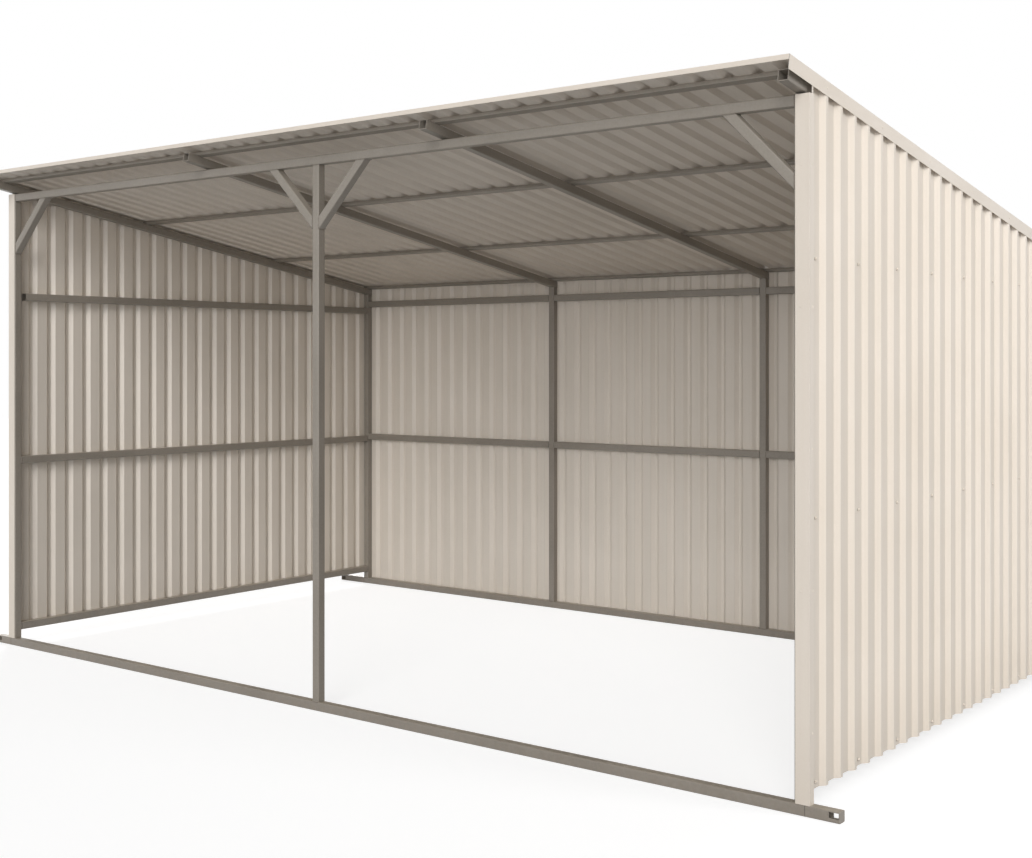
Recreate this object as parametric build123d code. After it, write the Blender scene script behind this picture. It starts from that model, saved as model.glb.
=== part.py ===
from build123d import *
from math import cos, radians, sin, tan
import os

# Open-fronted livestock shelter on skids: a welded frame of square tube, clad on three
# sides and on the roof with ribbed steel sheet. Millimetres. X runs along the open front,
# Y runs from the open front to the back, Z is up and the skids stand on Z = 0.

# Frame
frame_width = 4770
frame_depth = 2755
tube_size = 40
tube_wall = 2.5
tube_corner = 5
header_height = 2415
inner_post_offset = 746
brace_leg = 285

# Tow ends of the skids; the slot is cut lower on the side that faces the other skid
front_tow_length = 128
back_tow_length = 220
tow_plate = 3
tow_slot_length = 36
tow_slot_height = 20
tow_slot_sill = 15
tow_slot_inner_sill = 6

# Wall rails: the underside of the lower ones, how far the back mid rails lie over the side
# ones, and how far the top of the upper ones lies under the rafters where those end
side_bottom_rail_height = 82
side_mid_rail_height = 988
side_upper_rail_drop = 88
side_upper_rail_gap = 28
back_mid_rail_rise = 14
back_upper_rail_drop = 43

# Roof frame, lengths along the slope from the back edge of the header's top
roof_pitch = 9.4
rafter_lead = 162
purlin_width = 40
purlin_height = 16
purlin_wall = 2
purlin_corner = 3
front_purlin_lead = 117
second_purlin_run = 827
third_purlin_run = 1840
roof_lead = 200
roof_back_overhang = 93

# Ribbed sheet
sheet_thickness = 1
rib_pitch = 114
rib_height = 17
rib_crest = 17
rib_base = 55
side_sheet_bottom = 80
side_sheet_inset = 20
sheet_clearance = 3
back_sheet_bottom = 10
back_sheet_lap = 9
roof_edge_gap = 2
roof_rib_offset = -36

# Folded flashings
flashing_thickness = 1.2
front_flashing_cover = 35
front_flashing_return = 31
back_flashing_leg = 60
barge_drop = 52
barge_top = 125
capping_drop = 19
capping_top = 60
capping_gap = 1

# How far a cutting shape runs past what it cuts
overrun = 10

# Places that follow from the sizes above
half_width = frame_width / 2
half_tube = tube_size / 2
header_top = header_height + tube_size
slope_cos = cos(radians(roof_pitch))
slope_sin = sin(radians(roof_pitch))
purlin_top = tube_size + purlin_height
crest_top = purlin_top + rib_height + sheet_thickness
barge_peak = crest_top + flashing_thickness
roof_tail = (frame_depth - tube_size) / slope_cos + roof_back_overhang
roof_length = roof_lead + roof_tail
roof_y = -((roof_tail - roof_lead) * slope_cos + (2 * barge_peak - barge_drop) * slope_sin) / 2
front_face = roof_y - tube_size
back_face = front_face + frame_depth
crest_reach = half_width + rib_height + sheet_thickness
back_eave = header_top - (frame_depth - tube_size) * slope_sin / slope_cos
side_upper_rail_height = back_eave - side_upper_rail_drop - tube_size
back_mid_rail_height = side_mid_rail_height + back_mid_rail_rise
back_upper_rail_height = back_eave - back_upper_rail_drop - tube_size

# The roof frame: X across, Y down the slope to the back, Z square to the slope
roof_plane = Plane(
    origin=(0, roof_y, header_top), x_dir=(1, 0, 0), z_dir=(0, slope_sin, slope_cos)
)
back_plane = Plane(origin=(0, back_face, 0), z_dir=(0, 1, 0))

os.makedirs("parts", exist_ok=True)


def save(name, shape):
    export_step(shape, f"parts/{name}.step")


def save_pair(name, left_shape):
    """Write a left-hand piece and its mirror image on the right."""
    save(name.format("left"), left_shape)
    save(name.format("right"), mirror(left_shape, about=Plane.YZ))


def tube(start, end, x_dir, width=tube_size, height=tube_size, wall=tube_wall, corner=tube_corner):
    """A hollow section with rounded corners along the line from start to end."""
    axis = Vector(*end) - Vector(*start)
    outside = RectangleRounded(width, height, corner)
    inside = Rectangle(width - 2 * wall, height - 2 * wall)
    plane = Plane(origin=start, x_dir=x_dir, z_dir=axis)
    return plane * extrude(outside - inside, amount=axis.length)


def below(shape, plane):
    """The part of a shape on the back of a plane."""
    return split(shape, bisect_by=plane, keep=Keep.BOTTOM)


def plane_over_roof(height):
    """The plane parallel to the slope at a height over the rafters' undersides."""
    return roof_plane.offset(height)


def cross_tube(x_from, x_to, y, bottom):
    """A tube along X, with y its centre and bottom its underside."""
    z = bottom + half_tube
    return tube((x_from, y, z), (x_to, y, z), (0, 1, 0))


def ribbed_sheet(start, end, rib_at, length):
    """A ribbed sheet from start to end on X, ribs rising in Y, extruded up Z."""
    web_run = (rib_base - rib_crest) / 2
    web_slope = Vector(web_run, rib_height).get_angle(Vector(1, 0))
    spread = sheet_thickness * tan(radians(web_slope / 2))
    first = rib_at - rib_pitch * (1 + (rib_at - start) // rib_pitch)
    count = int((end - first) // rib_pitch) + 2
    centres = [first + rib_pitch * index for index in range(count)]
    inside = []
    outside = []
    for centre in centres:
        inside.append((centre - rib_base / 2, 0))
        inside.append((centre - rib_crest / 2, rib_height))
        inside.append((centre + rib_crest / 2, rib_height))
        inside.append((centre + rib_base / 2, 0))
        outside.append((centre - rib_base / 2 - spread, sheet_thickness))
        outside.append((centre - rib_crest / 2 - spread, rib_height + sheet_thickness))
        outside.append((centre + rib_crest / 2 + spread, rib_height + sheet_thickness))
        outside.append((centre + rib_base / 2 + spread, sheet_thickness))
    profile = make_face(Polyline(*inside, *reversed(outside), close=True))
    sheet = extrude(profile, amount=length)
    sheet = below(sheet, Plane(origin=(end, 0, 0), z_dir=(1, 0, 0)))
    return below(sheet, Plane(origin=(start, 0, 0), z_dir=(-1, 0, 0)))


# Skids: one tube under the front posts, one under the back posts
front_y = front_face + half_tube
back_y = back_face - half_tube
save("front_skid", cross_tube(-half_width, half_width, front_y, 0))
save("back_skid", cross_tube(-half_width, half_width, back_y, 0))


def left_tow_end(y, length, inward):
    """A stub on a skid's end: closed by a plate, with a slot through both sides for a chain.
    Inward is 1 or -1, the way along Y to the other skid."""
    tip = -half_width - length
    stub = cross_tube(tip, -half_width, y, 0)
    face = Plane(origin=(tip, y, half_tube), x_dir=(0, 1, 0), z_dir=(1, 0, 0))
    stub += face * extrude(RectangleRounded(tube_size, tube_size, tube_corner), amount=tow_plate)
    slot_x = tip + tow_plate + tow_slot_length / 2
    slot_reach = half_tube + overrun
    slot_top = tow_slot_sill + tow_slot_height
    for side, sill in ((-inward, tow_slot_sill), (inward, tow_slot_inner_sill)):
        slot = Box(tow_slot_length, slot_reach, slot_top - sill)
        stub -= Pos(slot_x, y + side * slot_reach / 2, (sill + slot_top) / 2) * slot
    return stub


save_pair("front_{}_tow_end", left_tow_end(front_y, front_tow_length, 1))
save_pair("back_{}_tow_end", left_tow_end(back_y, back_tow_length, -1))

# Front posts and the header between the outer two
end_post_x = half_width - half_tube


def upright(x, y, top):
    return tube((x, y, tube_size), (x, y, top), (1, 0, 0))


save_pair("front_{}_post", upright(-end_post_x, front_y, header_top))
save("front_centre_post", upright(0, front_y, header_height))
inner_half = half_width - tube_size
save("front_header", cross_tube(-inner_half, inner_half, front_y, header_height))


def brace(face_x, side):
    """A knee brace from a post's face at face_x up to the header, leaning to the given side."""
    lean = Vector(side, 0, 1).normalized()
    into_corner = Vector(-side, 0, 1).normalized() * half_tube
    foot = Vector(face_x, front_y, header_height - brace_leg) + into_corner
    head = Vector(face_x + side * brace_leg, front_y, header_height) + into_corner
    piece = tube(foot - lean * tube_size, head + lean * tube_size, (0, 1, 0))
    piece = below(piece, Plane(origin=(0, 0, header_height), z_dir=(0, 0, 1)))
    return below(piece, Plane(origin=(face_x, 0, 0), z_dir=(-side, 0, 0)))


save_pair("{}_corner_brace", brace(-inner_half, 1))
save_pair("centre_{}_brace", brace(-half_tube, -1))

# Back posts, cut to the slope under the rafters
frame_rows = {"outer": end_post_x, "inner": inner_post_offset}
for row, offset in frame_rows.items():
    post = upright(-offset, back_y, header_top)
    save_pair("back_{}_" + row + "_post", below(post, roof_plane))

# Rafters, lying on the header's back edge and on the back posts
tail = frame_depth / slope_cos
for row, offset in frame_rows.items():
    line = roof_plane * tube(
        (-offset, -rafter_lead, half_tube), (-offset, tail, half_tube), (1, 0, 0)
    )
    save_pair("{}_" + row + "_rafter", below(line, back_plane))

# Purlins, flat tubes across the rafters, the last one over the back posts
last_purlin_run = (frame_depth - tube_size - purlin_top * slope_sin) / slope_cos - purlin_width
purlin_runs = {
    "front": -front_purlin_lead,
    "second": second_purlin_run,
    "third": third_purlin_run,
    "back": last_purlin_run,
}
for name, run in purlin_runs.items():
    y = run + purlin_width / 2
    z = tube_size + purlin_height / 2
    purlin = tube(
        (-half_width, y, z), (half_width, y, z), (0, 1, 0),
        purlin_width, purlin_height, purlin_wall, purlin_corner,
    )
    save(f"{name}_purlin", roof_plane * purlin)

# Side rails between the front and back corner posts; the upper one stops short of the front
side_rails = {
    "bottom": (side_bottom_rail_height, 0),
    "mid": (side_mid_rail_height, 0),
    "upper": (side_upper_rail_height, side_upper_rail_gap),
}
for name, (bottom, gap) in side_rails.items():
    z = bottom + half_tube
    rail = tube(
        (-end_post_x, front_face + tube_size + gap, z), (-end_post_x, back_face - tube_size, z), (1, 0, 0)
    )
    save_pair("{}_" + name + "_rail", rail)

# Back rails, three lengths between the four back posts
inner_edge = inner_post_offset - half_tube
outer_edge = inner_post_offset + half_tube
for name, bottom in {"mid": back_mid_rail_height, "upper": back_upper_rail_height}.items():
    left_span = cross_tube(-inner_half, -outer_edge, back_y, bottom)
    middle_span = cross_tube(-inner_edge, inner_edge, back_y, bottom)
    right_span = cross_tube(outer_edge, inner_half, back_y, bottom)
    save(f"back_{name}_rails", Compound([left_span.solid(), middle_span.solid(), right_span.solid()]))

# Wall sheets, pans against the frame and ribs outward
side_start = front_face + side_sheet_inset
side_sheet = ribbed_sheet(side_start, back_face, side_start, header_top)
side_plane = Plane(origin=(-half_width, 0, side_sheet_bottom), x_dir=(0, 1, 0), z_dir=(0, 0, 1))
wall_top = plane_over_roof(purlin_top - sheet_clearance)
save_pair("{}_wall_sheet", below(side_plane * side_sheet, wall_top))

back_reach = half_width + back_sheet_lap
back_sheet = ribbed_sheet(-back_reach, back_reach, 0, header_top)
back_wall_plane = Plane(origin=(0, back_face, back_sheet_bottom), x_dir=(1, 0, 0), z_dir=(0, 0, 1))
save("back_wall_sheet", below(back_wall_plane * back_sheet, wall_top))

# Roof sheet on the purlins, ribs running down the slope
roof_reach = crest_reach - roof_edge_gap
roof_sheet = ribbed_sheet(-roof_reach, roof_reach, roof_rib_offset, roof_length)
eave = Plane(origin=(0, roof_tail, purlin_top), x_dir=(1, 0, 0), z_dir=(0, -1, 0))
save("roof_sheet", roof_plane * (eave * roof_sheet))


def angle_flashing(outer_x, outer_y, leg_x, leg_y, bottom, top):
    """An upright folded angle: its outer corner at outer_x, outer_y, and signed legs."""
    fold_x = flashing_thickness if leg_x > 0 else -flashing_thickness
    fold_y = flashing_thickness if leg_y > 0 else -flashing_thickness
    outline = Polyline(
        (outer_x, outer_y),
        (outer_x + leg_x, outer_y),
        (outer_x + leg_x, outer_y + fold_y),
        (outer_x + fold_x, outer_y + fold_y),
        (outer_x + fold_x, outer_y + leg_y),
        (outer_x, outer_y + leg_y),
        close=True,
    )
    return Pos(0, 0, bottom) * extrude(make_face(outline), amount=top - bottom)


# Corner flashings: over the front of the end posts, and round the back corners
corner_x = -crest_reach - flashing_thickness
front_leg = front_flashing_cover - half_width - corner_x
save_pair(
    "front_{}_corner_flashing",
    angle_flashing(
        corner_x, front_face - flashing_thickness, front_leg,
        front_flashing_return + flashing_thickness, tube_size, header_top,
    ),
)
corner_y = back_face + rib_height + sheet_thickness + flashing_thickness
back_corner = angle_flashing(
    corner_x, corner_y, back_flashing_leg, -back_flashing_leg, side_sheet_bottom, header_top
)
under_barge = plane_over_roof(barge_peak - barge_drop - sheet_clearance)
save_pair("back_{}_corner_flashing", below(back_corner, under_barge))

# Barge flashings down both roof edges, and the capping along the front edge between them
barge_x = -crest_reach - flashing_thickness
barge_outline = Polyline(
    (barge_x, barge_peak),
    (barge_x + barge_top, barge_peak),
    (barge_x + barge_top, crest_top),
    (barge_x + flashing_thickness, crest_top),
    (barge_x + flashing_thickness, barge_peak - barge_drop),
    (barge_x, barge_peak - barge_drop),
    close=True,
)
barge = Plane(origin=(0, roof_tail, 0), x_dir=(1, 0, 0), z_dir=(0, -1, 0)) * extrude(
    make_face(barge_outline), amount=roof_length
)
notch_depth = capping_top + capping_gap
notch = Box(barge_top - flashing_thickness, notch_depth, 2 * flashing_thickness)
notch_x = barge_x + flashing_thickness + (barge_top - flashing_thickness) / 2
barge -= Pos(notch_x, notch_depth / 2 - roof_lead, barge_peak) * notch
save_pair("{}_barge_flashing", roof_plane * barge)

capping_outline = Polyline(
    (-roof_lead - flashing_thickness, barge_peak),
    (capping_top - roof_lead, barge_peak),
    (capping_top - roof_lead, crest_top),
    (-roof_lead, crest_top),
    (-roof_lead, barge_peak - capping_drop),
    (-roof_lead - flashing_thickness, barge_peak - capping_drop),
    close=True,
)
capping = Plane(origin=(-crest_reach, 0, 0), x_dir=(0, 1, 0), z_dir=(1, 0, 0)) * extrude(
    make_face(capping_outline), amount=2 * crest_reach
)
save("front_capping", roof_plane * capping)
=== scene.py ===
from math import atan2, cos, pi, radians, sin, sqrt

import bpy
from mathutils import Matrix, Vector


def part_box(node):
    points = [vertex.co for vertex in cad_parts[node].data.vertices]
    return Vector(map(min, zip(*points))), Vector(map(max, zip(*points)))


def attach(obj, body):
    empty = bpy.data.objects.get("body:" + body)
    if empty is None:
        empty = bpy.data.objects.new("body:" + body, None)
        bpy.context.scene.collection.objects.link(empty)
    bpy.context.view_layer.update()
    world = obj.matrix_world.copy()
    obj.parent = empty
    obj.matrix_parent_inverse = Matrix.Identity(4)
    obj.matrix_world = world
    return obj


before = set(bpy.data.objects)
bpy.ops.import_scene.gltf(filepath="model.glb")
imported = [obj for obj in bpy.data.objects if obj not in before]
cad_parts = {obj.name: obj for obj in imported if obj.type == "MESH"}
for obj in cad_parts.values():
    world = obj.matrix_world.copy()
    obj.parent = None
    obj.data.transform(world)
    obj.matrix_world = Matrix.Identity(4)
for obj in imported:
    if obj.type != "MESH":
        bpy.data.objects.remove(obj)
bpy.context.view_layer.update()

# Skids and tow ends: two square steel tubes lie on the ground under the front and the back posts,
# and a slotted stub is butt-welded to each end so that a chain can drag the shelter along.
# The whole frame is welded up in mild steel and then sprayed with one warm grey enamel.
mm = 0.001
skid_low, skid_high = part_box("front_skid")
tube = skid_high.z - skid_low.z
half_tube = tube / 2
tube_corner = 5 * mm
half_width = skid_high.x
front_face = skid_low.y
back_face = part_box("back_skid")[1].y
front_line = front_face + half_tube
back_line = back_face - half_tube


def linear(hex_colour):
    """The linear colour of an sRGB hex value."""
    shares = [int(hex_colour[at:at + 2], 16) / 255 for at in (0, 2, 4)]
    return [s / 12.92 if s <= 0.04045 else ((s + 0.055) / 1.055) ** 2.4 for s in shares] + [1]


def add_node(tree, kind, inputs, **settings):
    """One shader node: settings are its properties, inputs are values or the sockets that feed it."""
    node = tree.nodes.new(kind)
    for name, value in settings.items():
        setattr(node, name, value)
    for name, value in inputs.items():
        if isinstance(value, bpy.types.NodeSocket):
            tree.links.new(value, node.inputs[name])
        else:
            node.inputs[name].default_value = value
    return node


def new_material(name):
    """An empty node material and its tree."""
    material = bpy.data.materials.new(name)
    material.use_nodes = True
    material.node_tree.nodes.clear()
    return material, material.node_tree


def dress(material, *names):
    """Give a finish to the frame's own pieces."""
    for name in names:
        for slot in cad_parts[name].material_slots:
            slot.material = material


def sprayed_enamel(name, thick, thin):
    """Sprayed enamel on mild steel: a satin skin, thinner and darker where the gun moved fast.
    Pale dust lies on the faces that look up, and soil has splashed over the lowest hand's breadth.
    The fine orange peel of the spray is 2 mm across, drawn at 9 mm so that it shows."""
    material, tree = new_material(name)
    place = add_node(tree, "ShaderNodeTexCoord", {}).outputs["Object"]
    normal = add_node(tree, "ShaderNodeNewGeometry", {}).outputs["Normal"]
    height = add_node(tree, "ShaderNodeSeparateXYZ", {"Vector": place}).outputs["Z"]
    rise = add_node(tree, "ShaderNodeSeparateXYZ", {"Vector": normal}).outputs["Z"]
    drift = add_node(
        tree, "ShaderNodeTexNoise", {"Vector": place, "Scale": 1 / (320 * mm), "Detail": 3}
    ).outputs["Fac"]
    peel = add_node(
        tree, "ShaderNodeTexNoise", {"Vector": place, "Scale": 1 / (9 * mm), "Detail": 2}
    ).outputs["Fac"]
    tone = add_node(
        tree, "ShaderNodeMix", {"Factor": 0.4, "A": drift, "B": peel}, data_type="FLOAT"
    ).outputs["Result"]
    tone = add_node(
        tree, "ShaderNodeMapRange", {"Value": tone, "From Min": 0.3, "From Max": 0.7}
    ).outputs["Result"]
    paint = add_node(
        tree, "ShaderNodeMix", {"Factor": tone, "A": linear(thin), "B": linear(thick)},
        data_type="RGBA",
    ).outputs["Result"]
    settled = add_node(
        tree, "ShaderNodeMapRange", {"Value": rise, "From Min": 0.6, "From Max": 1, "To Max": 1}
    ).outputs["Result"]
    settled = add_node(
        tree, "ShaderNodeMath", {0: settled, 1: drift}, operation="MULTIPLY"
    ).outputs["Value"]
    paint = add_node(
        tree, "ShaderNodeMix", {"Factor": settled, "A": paint, "B": linear("C2B7A6")},
        data_type="RGBA",
    ).outputs["Result"]
    splash = add_node(
        tree, "ShaderNodeMapRange",
        {"Value": height, "From Min": 0, "From Max": 110 * mm, "To Min": 0.55, "To Max": 0},
    ).outputs["Result"]
    clots = add_node(
        tree, "ShaderNodeTexNoise", {"Vector": place, "Scale": 1 / (24 * mm), "Detail": 5}
    ).outputs["Fac"]
    splash = add_node(
        tree, "ShaderNodeMath", {0: splash, 1: clots}, operation="MULTIPLY"
    ).outputs["Value"]
    paint = add_node(
        tree, "ShaderNodeMix", {"Factor": splash, "A": paint, "B": linear("7C7062")},
        data_type="RGBA",
    ).outputs["Result"]
    rough = add_node(
        tree, "ShaderNodeMapRange", {"Value": tone, "To Min": 0.42, "To Max": 0.3}
    ).outputs["Result"]
    skin = add_node(
        tree, "ShaderNodeBump", {"Height": peel, "Strength": 0.25, "Distance": 0.3 * mm}
    ).outputs["Normal"]
    surface = add_node(
        tree, "ShaderNodeBsdfPrincipled",
        {"Base Color": paint, "Roughness": rough, "Normal": skin, "IOR": 1.5},
    )
    add_node(tree, "ShaderNodeOutputMaterial", {"Surface": surface.outputs["BSDF"]})
    return material


def pick(piece, kind, test):
    """Select the vertices, edges or faces of a piece that pass a test, and stay in edit mode."""
    bpy.ops.object.mode_set(mode="EDIT")
    bpy.ops.mesh.select_mode(type=kind)
    bpy.ops.mesh.select_all(action="DESELECT")
    bpy.ops.object.mode_set(mode="OBJECT")
    mesh = piece.data
    for element in {"VERT": mesh.vertices, "EDGE": mesh.edges, "FACE": mesh.polygons}[kind]:
        element.select = test(element)
    bpy.ops.object.mode_set(mode="EDIT")


def run_of(piece, edge):
    """The vector from one end of an edge to the other."""
    first, last = edge.vertices
    return piece.data.vertices[last].co - piece.data.vertices[first].co


def lay_out(name, pattern, places):
    """Copy a pattern to its places, each copy with its own mesh, and join the copies to one piece."""
    bpy.ops.object.select_all(action="DESELECT")
    for place in places:
        copy = bpy.data.objects.new(name, pattern.data.copy())
        copy.data.transform(place)
        bpy.context.collection.objects.link(copy)
        copy.select_set(True)
        bpy.context.view_layer.objects.active = copy
    bpy.ops.object.join()
    piece = bpy.context.object
    piece.name = name
    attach(piece, "root")


grey_enamel = sprayed_enamel("warm_grey_enamel_on_steel", "9A9288", "8B847A")
dress(grey_enamel, "front_skid", "back_skid")
dress(grey_enamel, "front_left_tow_end", "front_right_tow_end")
dress(grey_enamel, "back_left_tow_end", "back_right_tow_end")

# The butt weld between a skid and its tow end is ground back almost flush, to a narrow collar.
# Its enamel is painted dark: painted shade that stands in for the shadow in the seam's gap.
seam_width = 2.4 * mm
seam_rise = 0.4 * mm
bpy.ops.object.select_all(action="DESELECT")
bpy.ops.mesh.primitive_cube_add(size=1, scale=(seam_width, tube + 2 * seam_rise, tube + seam_rise))
seam = bpy.context.object
bpy.ops.object.transform_apply(scale=True)
pick(seam, "EDGE", lambda edge: abs(run_of(seam, edge).x) > seam_width / 2)
bpy.ops.mesh.bevel(offset=tube_corner + seam_rise, segments=3)
bpy.ops.object.mode_set(mode="OBJECT")
# The seam's dark enamel colours are painted shade, not a darker paint.
seam.data.materials.append(sprayed_enamel("enamel_with_painted_seam_shade", "5C564F", "4A453F"))
lay_out(
    "tow_end_seams", seam,
    [
        Matrix.Translation((side * half_width, line, half_tube + seam_rise))
        for side in (-1, 1) for line in (front_line, back_line)
    ],
)
bpy.data.objects.remove(seam)

# Front frame: three posts stand on the front skid, the header runs between the outer two, and
# four knee braces cut at 45 degrees stiffen the corners. Every joint is closed by a fillet weld.
header_low, header_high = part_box("front_header")
inner_half = header_high.x
end_post_x = (half_width + inner_half) / 2
brace_cut = tube * sqrt(2)
dress(grey_enamel, "front_left_post", "front_right_post", "front_centre_post", "front_header")
braces = {
    "left_corner_brace": (-inner_half, 1),
    "centre_left_brace": (-half_tube, -1),
    "centre_right_brace": (half_tube, 1),
    "right_corner_brace": (inner_half, -1),
}
dress(grey_enamel, *braces)

# One fillet weld: a ridge with the ripples that the puddle leaves, thinner where it starts and
# stops, and sunk to its middle in the corner that it fills.
bead_radius = 3.2 * mm
bead_length = 2 * (half_tube - tube_corner)
bead_rings = 8
ripple_share = 0.82
bead_end_share = 0.5
bpy.ops.object.select_all(action="DESELECT")
bpy.ops.mesh.primitive_cylinder_add(
    vertices=6, radius=bead_radius, depth=bead_length, rotation=(0, pi / 2, 0)
)
bead = bpy.context.object
bpy.ops.object.transform_apply(rotation=True)
pick(bead, "EDGE", lambda edge: abs(run_of(bead, edge).x) > bead_length / 2)
bpy.ops.mesh.subdivide(number_cuts=bead_rings)
ring_gap = bead_length / (bead_rings + 1)
pick(bead, "VERT", lambda vertex: round(vertex.co.x / ring_gap + (bead_rings + 1) / 2) % 2 == 0)
bpy.ops.transform.resize(value=(1, ripple_share, ripple_share))
pick(bead, "VERT", lambda vertex: abs(vertex.co.x) > (bead_length - ring_gap) / 2)
bpy.ops.transform.resize(value=(1, bead_end_share, bead_end_share))
bpy.ops.object.mode_set(mode="OBJECT")
bpy.ops.object.shade_smooth_by_angle(angle=radians(60))
bead.data.materials.append(sprayed_enamel("enamel_on_weld_bead", "8D857A", "756E65"))

right, backward, upward = Vector((1, 0, 0)), Vector((0, 1, 0)), Vector((0, 0, 1))


def bead_at(centre, out, along, length=bead_length):
    """The place of one bead: out from a joint's centre, running along a direction."""
    turn = along.to_track_quat("X", "Z").to_matrix().to_4x4()
    return Matrix.Translation(centre + out) @ turn @ Matrix.Diagonal((length / bead_length, 1, 1, 1))


def foot_beads(x, line, hidden):
    """Beads round a post's foot on its skid, apart from the side that cladding covers."""
    centre = Vector((x, line, tube))
    sides = {
        "left": (-right * half_tube, backward),
        "right": (right * half_tube, backward),
        "front": (-backward * half_tube, right),
        "back": (backward * half_tube, right),
    }
    return [bead_at(centre, *side) for name, side in sides.items() if name != hidden]


front_beads = foot_beads(0, front_line, None)
front_beads += foot_beads(-end_post_x, front_line, "front")
front_beads += foot_beads(end_post_x, front_line, "front")
head = Vector((0, front_line, header_low.z))
for side in (-1, 1):
    front_beads.append(bead_at(head, side * right * half_tube, backward))
    front_beads.append(bead_at(head, side * backward * half_tube, right))
    corner = Vector((side * inner_half, front_line, header_low.z + half_tube))
    front_beads.append(bead_at(corner, -upward * half_tube, backward))
    front_beads.append(bead_at(corner, -backward * half_tube, upward))
    front_beads.append(bead_at(corner, backward * half_tube, upward))
for name, (face, side) in braces.items():
    low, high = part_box(name)
    foot = Vector((face, front_line, low.z + brace_cut / 2))
    top = Vector((face + side * (high.x - low.x - brace_cut / 2), front_line, high.z))
    for end, along in ((foot, upward), (top, right)):
        for sign in (-1, 1):
            front_beads.append(bead_at(end, sign * along * brace_cut / 2, backward))
            front_beads.append(bead_at(end, sign * backward * half_tube, along, brace_cut))
lay_out("front_frame_welds", bead, front_beads)

# Back frame: four posts on the back skid, their tops cut to the slope of the roof, with two rows
# of rails welded in between them. The back sheet hides the outer side of every joint.
inner_post_x = -(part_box("back_left_inner_post")[0].x + half_tube)
back_posts = [f"back_{side}_{row}_post" for side in ("left", "right") for row in ("outer", "inner")]
dress(grey_enamel, "back_mid_rails", "back_upper_rails", *back_posts)
back_beads = []
for x in (-end_post_x, -inner_post_x, inner_post_x, end_post_x):
    back_beads += foot_beads(x, back_line, "back")
for rails in ("back_mid_rails", "back_upper_rails"):
    rail_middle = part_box(rails)[0].z + half_tube
    for x in (inner_half, inner_post_x + half_tube, inner_post_x - half_tube):
        for side in (-1, 1):
            joint = Vector((side * x, back_line, rail_middle))
            back_beads.append(bead_at(joint, upward * half_tube, backward))
            back_beads.append(bead_at(joint, -upward * half_tube, backward))
            back_beads.append(bead_at(joint, -backward * half_tube, upward))
lay_out("back_frame_welds", bead, back_beads)

# Side rails: three tubes on each side between the corner posts. The upper one stops short of the
# front post and leaves its end open.
side_beads = []
for side, sign in (("left", -1), ("right", 1)):
    for row in ("bottom", "mid", "upper"):
        dress(grey_enamel, f"{side}_{row}_rail")
        low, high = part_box(f"{side}_{row}_rail")
        ends = (high.y,) if row == "upper" else (low.y, high.y)
        for end in ends:
            joint = Vector((sign * end_post_x, end, low.z + half_tube))
            side_beads.append(bead_at(joint, upward * half_tube, right))
            side_beads.append(bead_at(joint, -upward * half_tube, right))
            side_beads.append(bead_at(joint, -sign * right * half_tube, upward))
lay_out("side_rail_welds", bead, side_beads)

# Roof frame: four rafters lie on the header and on the back posts, and four flat purlins lie
# across them. The rafters' front ends stick out past the header and are left open.
header_top = header_high.z
post_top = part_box("back_left_outer_post")[1].z
knee = Vector((0, front_face + tube, header_top))
roof_pitch = atan2(header_top - post_top, back_face - front_face - 2 * tube)
downhill = Vector((0, cos(roof_pitch), -sin(roof_pitch)))
off_roof = Vector((0, sin(roof_pitch), cos(roof_pitch)))
purlins = ("front_purlin", "second_purlin", "third_purlin", "back_purlin")
rafter_lines = {
    "left_outer_rafter": -end_post_x,
    "left_inner_rafter": -inner_post_x,
    "right_inner_rafter": inner_post_x,
    "right_outer_rafter": end_post_x,
}
dress(grey_enamel, *purlins, *rafter_lines)
seat_length = 22 * mm


def on_roof(x, run, rise):
    """A point by its place across, its run down the slope and its rise square to it."""
    return knee + right * x + downhill * run + off_roof * rise


def run_to(node):
    """How far down the slope a piece's middle lies."""
    low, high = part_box(node)
    return ((low + high) / 2 - knee).dot(downhill)


post_run = (back_face - front_face - tube - half_tube) / cos(roof_pitch)
roof_beads = []
for x in rafter_lines.values():
    sides = [sign for sign in (-1, 1) if abs(x + sign * half_tube) < half_width - mm]
    for sign in sides:
        flank = sign * right * half_tube
        seat = Vector((x, knee.y - seat_length / 2, header_top))
        roof_beads.append(bead_at(seat, flank, backward, seat_length))
        roof_beads.append(bead_at(on_roof(x, post_run, 0), flank, downhill))
        for purlin in purlins:
            roof_beads.append(bead_at(on_roof(x, run_to(purlin), tube), flank, downhill))
    roof_beads.append(bead_at(on_roof(x, post_run, 0), -downhill * half_tube, right))
lay_out("roof_frame_welds", bead, roof_beads)
bpy.data.objects.remove(bead)

# Wall sheets: ribbed steel sheet, galvanised, primed and coil-painted cream before it is rolled.
# Its pans lie against the frame and its ribs stand out. The inside has only a thin backing coat.
rib_pitch = 114 * mm
rib_rise = 18 * mm
sheet = 1 * mm


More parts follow.
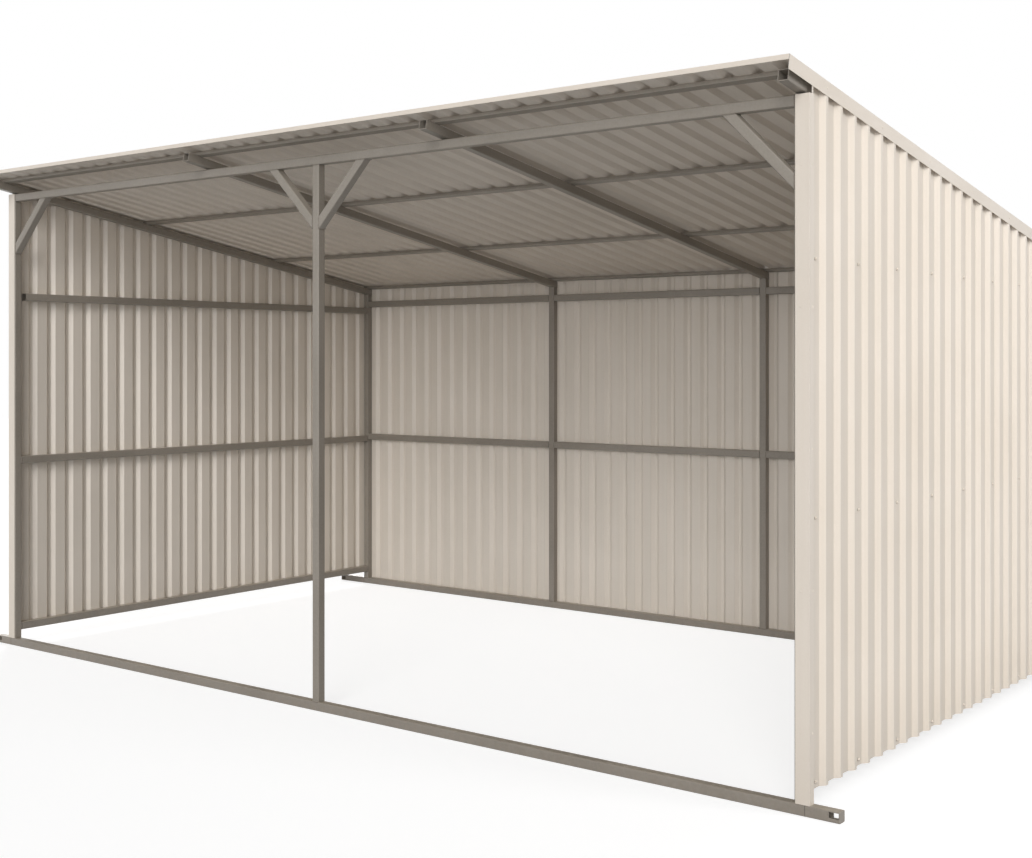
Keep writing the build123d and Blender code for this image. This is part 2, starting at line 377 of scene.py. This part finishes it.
def coil_painted_steel(name, outside, ribs):
    """Coil-painted steel: an even satin cream that goes slightly patchy in the sun, with faint
    streaks where rain ran down the ribs, a dusting of soil low down and grey steel at cut edges.
    The paint's fine texture is under 1 mm, drawn at 8 mm so that it shows. Outside is the side
    with the top coat, and ribs is the way the ribs run."""
    material, tree = new_material(name)
    place = add_node(tree, "ShaderNodeTexCoord", {}).outputs["Object"]
    normal = add_node(tree, "ShaderNodeNewGeometry", {}).outputs["True Normal"]
    height = add_node(tree, "ShaderNodeSeparateXYZ", {"Vector": place}).outputs["Z"]
    patches = add_node(
        tree, "ShaderNodeTexNoise", {"Vector": place, "Scale": 1 / (480 * mm), "Detail": 3}
    ).outputs["Fac"]
    streak_size = [1 / (1400 * mm if abs(way) > 0.5 else 34 * mm) for way in ribs]
    drawn_out = add_node(tree, "ShaderNodeMapping", {"Vector": place, "Scale": streak_size})
    streaks = add_node(
        tree, "ShaderNodeTexNoise", {"Vector": drawn_out.outputs["Vector"], "Scale": 1, "Detail": 3}
    ).outputs["Fac"]
    texture = add_node(
        tree, "ShaderNodeTexNoise", {"Vector": place, "Scale": 1 / (8 * mm), "Detail": 2}
    ).outputs["Fac"]
    tone = add_node(
        tree, "ShaderNodeMix", {"Factor": 0.45, "A": patches, "B": streaks}, data_type="FLOAT"
    ).outputs["Result"]
    tone = add_node(
        tree, "ShaderNodeMix", {"Factor": 0.16, "A": tone, "B": texture}, data_type="FLOAT"
    ).outputs["Result"]
    tone = add_node(
        tree, "ShaderNodeMapRange", {"Value": tone, "From Min": 0.32, "From Max": 0.68}
    ).outputs["Result"]
    top_coat = add_node(
        tree, "ShaderNodeMix", {"Factor": tone, "A": linear("E2D7C9"), "B": linear("EAE0D4")},
        data_type="RGBA",
    ).outputs["Result"]
    backing_coat = add_node(
        tree, "ShaderNodeMix", {"Factor": tone, "A": linear("E1D8CC"), "B": linear("EAE1D6")},
        data_type="RGBA",
    ).outputs["Result"]
    facing = add_node(
        tree, "ShaderNodeVectorMath", {0: normal, 1: outside}, operation="DOT_PRODUCT"
    ).outputs["Value"]
    is_outside = add_node(
        tree, "ShaderNodeMath", {0: facing, 1: 0.1}, operation="GREATER_THAN"
    ).outputs["Value"]
    paint = add_node(
        tree, "ShaderNodeMix", {"Factor": is_outside, "A": backing_coat, "B": top_coat},
        data_type="RGBA",
    ).outputs["Result"]
    splash = add_node(
        tree, "ShaderNodeMapRange",
        {"Value": height, "From Min": 60 * mm, "From Max": 330 * mm, "To Min": 0.22, "To Max": 0},
    ).outputs["Result"]
    splash = add_node(
        tree, "ShaderNodeMath", {0: splash, 1: streaks}, operation="MULTIPLY"
    ).outputs["Value"]
    paint = add_node(
        tree, "ShaderNodeMix", {"Factor": splash, "A": paint, "B": linear("A08F78")},
        data_type="RGBA",
    ).outputs["Result"]
    end_on = add_node(
        tree, "ShaderNodeVectorMath", {0: normal, 1: ribs}, operation="DOT_PRODUCT"
    ).outputs["Value"]
    end_on = add_node(tree, "ShaderNodeMath", {0: end_on}, operation="ABSOLUTE").outputs["Value"]
    cut_edge = add_node(
        tree, "ShaderNodeMath", {0: end_on, 1: 0.9}, operation="GREATER_THAN"
    ).outputs["Value"]
    paint = add_node(
        tree, "ShaderNodeMix", {"Factor": cut_edge, "A": paint, "B": linear("9B9A96")},
        data_type="RGBA",
    ).outputs["Result"]
    rough = add_node(
        tree, "ShaderNodeMapRange", {"Value": tone, "To Min": 0.42, "To Max": 0.34}
    ).outputs["Result"]
    waves = add_node(
        tree, "ShaderNodeBump", {"Height": patches, "Strength": 0.35, "Distance": 2 * mm}
    ).outputs["Normal"]
    skin = add_node(
        tree, "ShaderNodeBump",
        {"Height": texture, "Strength": 0.06, "Distance": 0.2 * mm, "Normal": waves},
    ).outputs["Normal"]
    surface = add_node(
        tree, "ShaderNodeBsdfPrincipled",
        {"Base Color": paint, "Roughness": rough, "Normal": skin, "IOR": 1.5},
    )
    add_node(tree, "ShaderNodeOutputMaterial", {"Surface": surface.outputs["BSDF"]})
    return material


walls = {"left": -right, "right": right, "back": backward}
for wall, outside in walls.items():
    wall_paint = coil_painted_steel(f"cream_coil_painted_steel_{wall}", outside, upward)
    dress(wall_paint, f"{wall}_wall_sheet")

# Cladding screws: self-drilling screws with a pressed hexagon head and flange, painted to match,
# on a rubber sealing washer. On the walls they go through every third pan into the rails.
flange_radius = 7 * mm
washer_shrink = 0.94
washer_height = 1.6 * mm
flange_height = 1.2 * mm
hexagon_radius = 4.6 * mm
hexagon_height = 4.4 * mm
hexagon_chamfer = 0.7 * mm
flange_taper = 0.86
bpy.ops.object.select_all(action="DESELECT")
bpy.ops.mesh.primitive_cylinder_add(
    vertices=12, radius=flange_radius * washer_shrink, depth=washer_height,
    location=(0, 0, washer_height / 2),
)
screw = bpy.context.object
bpy.ops.object.transform_apply(location=True)
pick(screw, "FACE", lambda face: face.normal.z > 0.9)
bpy.ops.mesh.extrude_region_move(TRANSFORM_OT_translate={"value": (0, 0, 0)})
bpy.ops.transform.resize(value=(1 / washer_shrink, 1 / washer_shrink, 1))
bpy.ops.mesh.extrude_region_move(TRANSFORM_OT_translate={"value": (0, 0, flange_height)})
bpy.ops.transform.resize(value=(flange_taper, flange_taper, 1))
bpy.ops.object.mode_set(mode="OBJECT")
bpy.ops.object.select_all(action="DESELECT")
bpy.ops.mesh.primitive_cylinder_add(
    vertices=6, radius=hexagon_radius, depth=hexagon_height,
    location=(0, 0, washer_height + flange_height + hexagon_height / 2),
)
hexagon = bpy.context.object
bpy.ops.object.transform_apply(location=True)
pick(hexagon, "FACE", lambda face: face.normal.z > 0.9)
bpy.ops.mesh.bevel(offset=hexagon_chamfer, segments=1)
bpy.ops.object.mode_set(mode="OBJECT")
screw.select_set(True)
bpy.context.view_layer.objects.active = screw
bpy.ops.object.join()


def powder_coat(name):
    """Powder-coated heads: the sheet's cream, glossier, and rubbed by the driver in spots 2 mm wide."""
    material, tree = new_material(name)
    place = add_node(tree, "ShaderNodeTexCoord", {}).outputs["Object"]
    rubs = add_node(
        tree, "ShaderNodeTexNoise", {"Vector": place, "Scale": 1 / (2 * mm), "Detail": 2}
    ).outputs["Fac"]
    worn = add_node(
        tree, "ShaderNodeMapRange", {"Value": rubs, "From Min": 0.55, "From Max": 0.75}
    ).outputs["Result"]
    paint = add_node(
        tree, "ShaderNodeMix", {"Factor": worn, "A": linear("E6DCCF"), "B": linear("CFC5B7")},
        data_type="RGBA",
    ).outputs["Result"]
    rough = add_node(
        tree, "ShaderNodeMapRange", {"Value": rubs, "To Min": 0.3, "To Max": 0.5}
    ).outputs["Result"]
    surface = add_node(
        tree, "ShaderNodeBsdfPrincipled", {"Base Color": paint, "Roughness": rough, "IOR": 1.5}
    )
    add_node(tree, "ShaderNodeOutputMaterial", {"Surface": surface.outputs["BSDF"]})
    return material


# Moulded rubber: matt and pale grey, with a chalky bloom in spots 3 mm wide.
rubber, tree = new_material("moulded_grey_rubber_washer")
place = add_node(tree, "ShaderNodeTexCoord", {}).outputs["Object"]
bloom = add_node(tree, "ShaderNodeTexNoise", {"Vector": place, "Scale": 1 / (3 * mm)}).outputs["Fac"]
tint = add_node(
    tree, "ShaderNodeMix", {"Factor": bloom, "A": linear("8F8A82"), "B": linear("A7A198")},
    data_type="RGBA",
).outputs["Result"]
surface = add_node(tree, "ShaderNodeBsdfPrincipled", {"Base Color": tint, "Roughness": 0.75})
add_node(tree, "ShaderNodeOutputMaterial", {"Surface": surface.outputs["BSDF"]})

screw.data.materials.append(powder_coat("cream_powder_coat_on_screw"))
screw.data.materials.append(rubber)
for face in screw.data.polygons:
    is_washer = face.center.z < washer_height - flange_height / 2
    face.material_index = 1 if is_washer else 0


def driven_at(points, outside):
    """Places for heads driven square to a sheet, each one left at its own angle."""
    square = outside.to_track_quat("Z", "Y").to_matrix().to_4x4()
    turn = radians(137)
    return [
        Matrix.Translation(point) @ square @ Matrix.Rotation(index * turn, 4, "Z")
        for index, point in enumerate(points)
    ]


pans_per_screw = 3
side_sheet_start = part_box("left_wall_sheet")[0].y
pan_count = round((back_face - side_sheet_start) / rib_pitch)
for side, sign in (("left", -1), ("right", 1)):
    outer_face = sign * (half_width + sheet)
    points = []
    for index in range(0, pan_count, pans_per_screw):
        y = side_sheet_start + (index + 0.5) * rib_pitch
        for row in ("bottom", "mid", "upper"):
            points.append(Vector((outer_face, y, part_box(f"{side}_{row}_rail")[0].z + half_tube)))
    lay_out(f"{side}_wall_screws", screw, driven_at(points, walls[side]))

points = []
half_pans = int(half_width / rib_pitch)
for index in range(-half_pans, half_pans, pans_per_screw):
    x = (index + 0.5) * rib_pitch
    for rails in ("back_skid", "back_mid_rails", "back_upper_rails"):
        points.append(Vector((x, back_face + sheet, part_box(rails)[0].z + half_tube)))
lay_out("back_wall_screws", screw, driven_at(points, backward))

# Roof sheet: the same ribbed sheet with its ribs running down the slope, fixed through every
# second crest into the purlins so that no screw stands in running water.
dress(coil_painted_steel("cream_coil_painted_steel_roof", upward, downhill), "roof_sheet")
roof_rib_offset = -36 * mm
left_edge_rib = -20
right_edge_rib = 21
ribs_per_screw = 2
purlin_height = 16 * mm
purlin_top = tube + purlin_height
points = []
for index in range(left_edge_rib + 1, right_edge_rib, ribs_per_screw):
    x = roof_rib_offset + index * rib_pitch
    for purlin in purlins[1:]:
        points.append(on_roof(x, run_to(purlin), purlin_top + rib_rise))
lay_out("roof_screws", screw, driven_at(points, off_roof))
bpy.data.objects.remove(screw)

# Flashings: the same painted steel folded to angles. They close the corners, run down both roof
# edges and cap the front edge, and are held by blind rivets.
flashings = {
    "front_left_corner_flashing": (-1, -1, 0),
    "front_right_corner_flashing": (1, -1, 0),
    "back_left_corner_flashing": (-1, 1, 0),
    "back_right_corner_flashing": (1, 1, 0),
    "left_barge_flashing": (-1, 0, 1),
    "right_barge_flashing": (1, 0, 1),
    "front_capping": (0, -1, 1),
}
for name, outside in flashings.items():
    ribs = right if name == "front_capping" else downhill if "barge" in name else upward
    dress(coil_painted_steel(f"cream_folded_steel_{name}", outside, ribs), name)

# One blind rivet: a low painted dome with the dimple that the broken mandrel leaves.
rivet_radius = 4.5 * mm
rim_height = 0.7 * mm
dome_height = 0.9 * mm
dome_share = 0.62
dimple_rim = 1 * mm
bpy.ops.object.select_all(action="DESELECT")
bpy.ops.mesh.primitive_cylinder_add(
    vertices=10, radius=rivet_radius, depth=rim_height, location=(0, 0, rim_height / 2)
)
rivet = bpy.context.object
bpy.ops.object.transform_apply(location=True)
pick(rivet, "FACE", lambda face: face.normal.z > 0.9)
bpy.ops.mesh.extrude_region_move(TRANSFORM_OT_translate={"value": (0, 0, dome_height)})
bpy.ops.transform.resize(value=(dome_share, dome_share, 1))
bpy.ops.mesh.inset(thickness=dimple_rim)
bpy.ops.transform.translate(value=(0, 0, -dome_height))
bpy.ops.object.mode_set(mode="OBJECT")
bpy.ops.object.shade_smooth_by_angle(angle=radians(50))
rivet.data.materials.append(powder_coat("cream_paint_on_rivet"))

rivets_per_leg = 5
front_leg_shift = 4 * mm
front_flank_shift = 3 * mm
back_leg_shift = 4 * mm
back_flank_shift = 4 * mm


def spread_up(low, high):
    """Heights spread evenly up a flashing between the corners of its box."""
    step = (high.z - low.z) / rivets_per_leg
    return [low.z + step * (index + 0.5) for index in range(rivets_per_leg)]


corner_rivets = []
for side, sign in (("left", -1), ("right", 1)):
    low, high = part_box(f"front_{side}_corner_flashing")
    outer = high.x if sign > 0 else low.x
    front_leg = sign * (end_post_x + front_leg_shift)
    front = [Vector((front_leg, low.y, z)) for z in spread_up(low, high)]
    flank = [Vector((outer, side_sheet_start + front_flank_shift, z)) for z in spread_up(low, high)]
    corner_rivets += driven_at(front, -backward) + driven_at(flank, sign * right)
    low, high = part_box(f"back_{side}_corner_flashing")
    outer = high.x if sign > 0 else low.x
    back_leg = sign * (half_width + back_leg_shift)
    back = [Vector((back_leg, high.y, z)) for z in spread_up(low, high)]
    flank = [Vector((outer, back_face - back_flank_shift, z)) for z in spread_up(low, high)]
    corner_rivets += driven_at(back, backward) + driven_at(flank, sign * right)
lay_out("corner_flashing_rivets", rivet, corner_rivets)

flashing = 1.2 * mm
barge_drop = 52 * mm
ribs_per_rivet = 4
flashing_top = purlin_top + rib_rise + flashing
leg_middle = flashing_top - barge_drop / 2
barge_rivets = []
for side, sign in (("left", -1), ("right", 1)):
    low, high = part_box(f"{side}_barge_flashing")
    outer = high.x if sign > 0 else low.x
    edge_rib = roof_rib_offset + (right_edge_rib if sign > 0 else left_edge_rib) * rib_pitch
    leg, top = [], []
    for index in range(1, pan_count, ribs_per_rivet):
        y = side_sheet_start + index * rib_pitch
        leg_run = (y - knee.y - leg_middle * sin(roof_pitch)) / cos(roof_pitch)
        leg.append(on_roof(outer, leg_run, leg_middle))
        top.append(on_roof(edge_rib, (y - knee.y) / cos(roof_pitch), flashing_top))
    barge_rivets += driven_at(leg, sign * right) + driven_at(top, off_roof)
lay_out("barge_flashing_rivets", rivet, barge_rivets)

capping_shift = 8 * mm
capping_run = run_to("front_capping") + capping_shift
points = [
    on_roof(roof_rib_offset + index * rib_pitch, capping_run, flashing_top)
    for index in range(left_edge_rib + 3, right_edge_rib - 1, ribs_per_rivet)
]
lay_out("capping_rivets", rivet, driven_at(points, off_roof))
bpy.data.objects.remove(rivet)

# Studio floor: a wide sheet of pale matt paper that takes the shelter's shadow. A glow that only the
# camera and reflections see lifts it to the white of the photograph without lighting the object.
floor_size = 60
floor_glow = 0.75
bpy.ops.object.select_all(action="DESELECT")
bpy.ops.mesh.primitive_plane_add(size=floor_size)
floor = bpy.context.object
floor.name = "studio_floor"


def seen_directly(tree):
    """One for rays from the camera, a reflection or through glass, and nought for all other rays."""
    path = add_node(tree, "ShaderNodeLightPath", {}).outputs
    seen = add_node(
        tree, "ShaderNodeMath", {0: path["Is Camera Ray"], 1: path["Is Glossy Ray"]},
        operation="MAXIMUM",
    ).outputs["Value"]
    return add_node(
        tree, "ShaderNodeMath", {0: seen, 1: path["Is Transmission Ray"]}, operation="MAXIMUM"
    ).outputs["Value"]


paper, tree = new_material("pale_matt_paper")
matt = add_node(tree, "ShaderNodeBsdfDiffuse", {"Color": linear("ACACAC")}).outputs["BSDF"]
glow = add_node(
    tree, "ShaderNodeMath", {0: seen_directly(tree), 1: floor_glow}, operation="MULTIPLY"
).outputs["Value"]
glow = add_node(tree, "ShaderNodeEmission", {"Strength": glow}).outputs["Emission"]
surface = add_node(tree, "ShaderNodeAddShader", {0: matt, 1: glow}).outputs["Shader"]
add_node(tree, "ShaderNodeOutputMaterial", {"Surface": surface})
floor.data.materials.append(paper)

# Room: white walls far off all round, which the camera and reflections see as plain white and which
# light the object softly from every side.
room_light = 0.15
world = bpy.data.worlds.new("soft_white_room")
world.use_nodes = True
bpy.context.scene.world = world
tree = world.node_tree
tree.nodes.clear()
level = add_node(
    tree, "ShaderNodeMapRange", {"Value": seen_directly(tree), "To Min": room_light, "To Max": 1}
).outputs["Result"]
surface = add_node(
    tree, "ShaderNodeBackground", {"Color": linear("FFFFFF"), "Strength": level}
).outputs["Background"]
add_node(tree, "ShaderNodeOutputWorld", {"Surface": surface})

# Far lights: broad soft banks, each with its bearing from the front towards the right, its height and
# its width in degrees, and its level, where 1 shows a white surface that faces it as white.
far_lights = {
    "high_key": (30, 35, 24, 0.32),
    "middle_key": (24, 18, 24, 0.22),
    "low_key": (12, 3, 24, 0.11),
    "low_side": (46, 3, 26, 0.06),
    "front_fill": (-25, 8, 70, 0.06),
    "back_key": (-134, 30, 20, 0.55),
    "back_fill": (180, 35, 60, 0.1),
}
for name, (bearing, height, width, level) in far_lights.items():
    around, lift = radians(bearing), radians(height)
    towards = Vector((sin(around) * cos(lift), -cos(around) * cos(lift), sin(lift)))
    bpy.ops.object.light_add(type="SUN", rotation=towards.to_track_quat("Z", "Y").to_euler())
    lamp = bpy.context.object
    lamp.name = name
    lamp.data.angle = radians(width)
    lamp.data.energy = level * pi

# Near lights: two round softboxes that face the shelter, one high on the right and one low in front,
# each with its place and its level at the point that they are aimed at.
softbox_width = 2.5
lit_point = Vector((0, -0.5, 1.2))
near_lights = {
    "right_softbox": ((8, 0, 5), 0.19),
    "low_softbox": ((5, -7, 1.3), 0.05),
}
for name, (spot, level) in near_lights.items():
    towards = Vector(spot) - lit_point
    bpy.ops.object.light_add(
        type="AREA", location=spot, rotation=towards.to_track_quat("Z", "Y").to_euler()
    )
    lamp = bpy.context.object
    lamp.name = name
    lamp.visible_camera = False
    lamp.data.shape = "DISK"
    lamp.data.size = softbox_width
    lamp.data.energy = level * pi ** 2 * towards.length_squared

# Camera: at eye height in front of the right-hand corner and held level, so that uprights stay
# upright. The lens shift frames the shelter as in the photograph, which is 1032 by 858 pixels.
photo_width = 1032
photo_height = 858
focal_pixels = 1408
square_on_x = 542
horizon_y = 361.36
eye = (4.5825, -5.6837, 1.5454)
heading = radians(37.47)
bpy.ops.object.camera_add(location=eye, rotation=(pi / 2, 0, heading))
camera = bpy.context.object
camera.data.sensor_fit = "HORIZONTAL"
camera.data.lens = focal_pixels / photo_width * camera.data.sensor_width
camera.data.shift_x = (photo_width / 2 - square_on_x) / photo_width
camera.data.shift_y = (horizon_y - photo_height / 2) / photo_width
bpy.context.scene.camera = camera
bpy.context.scene.view_settings.view_transform = "Standard"
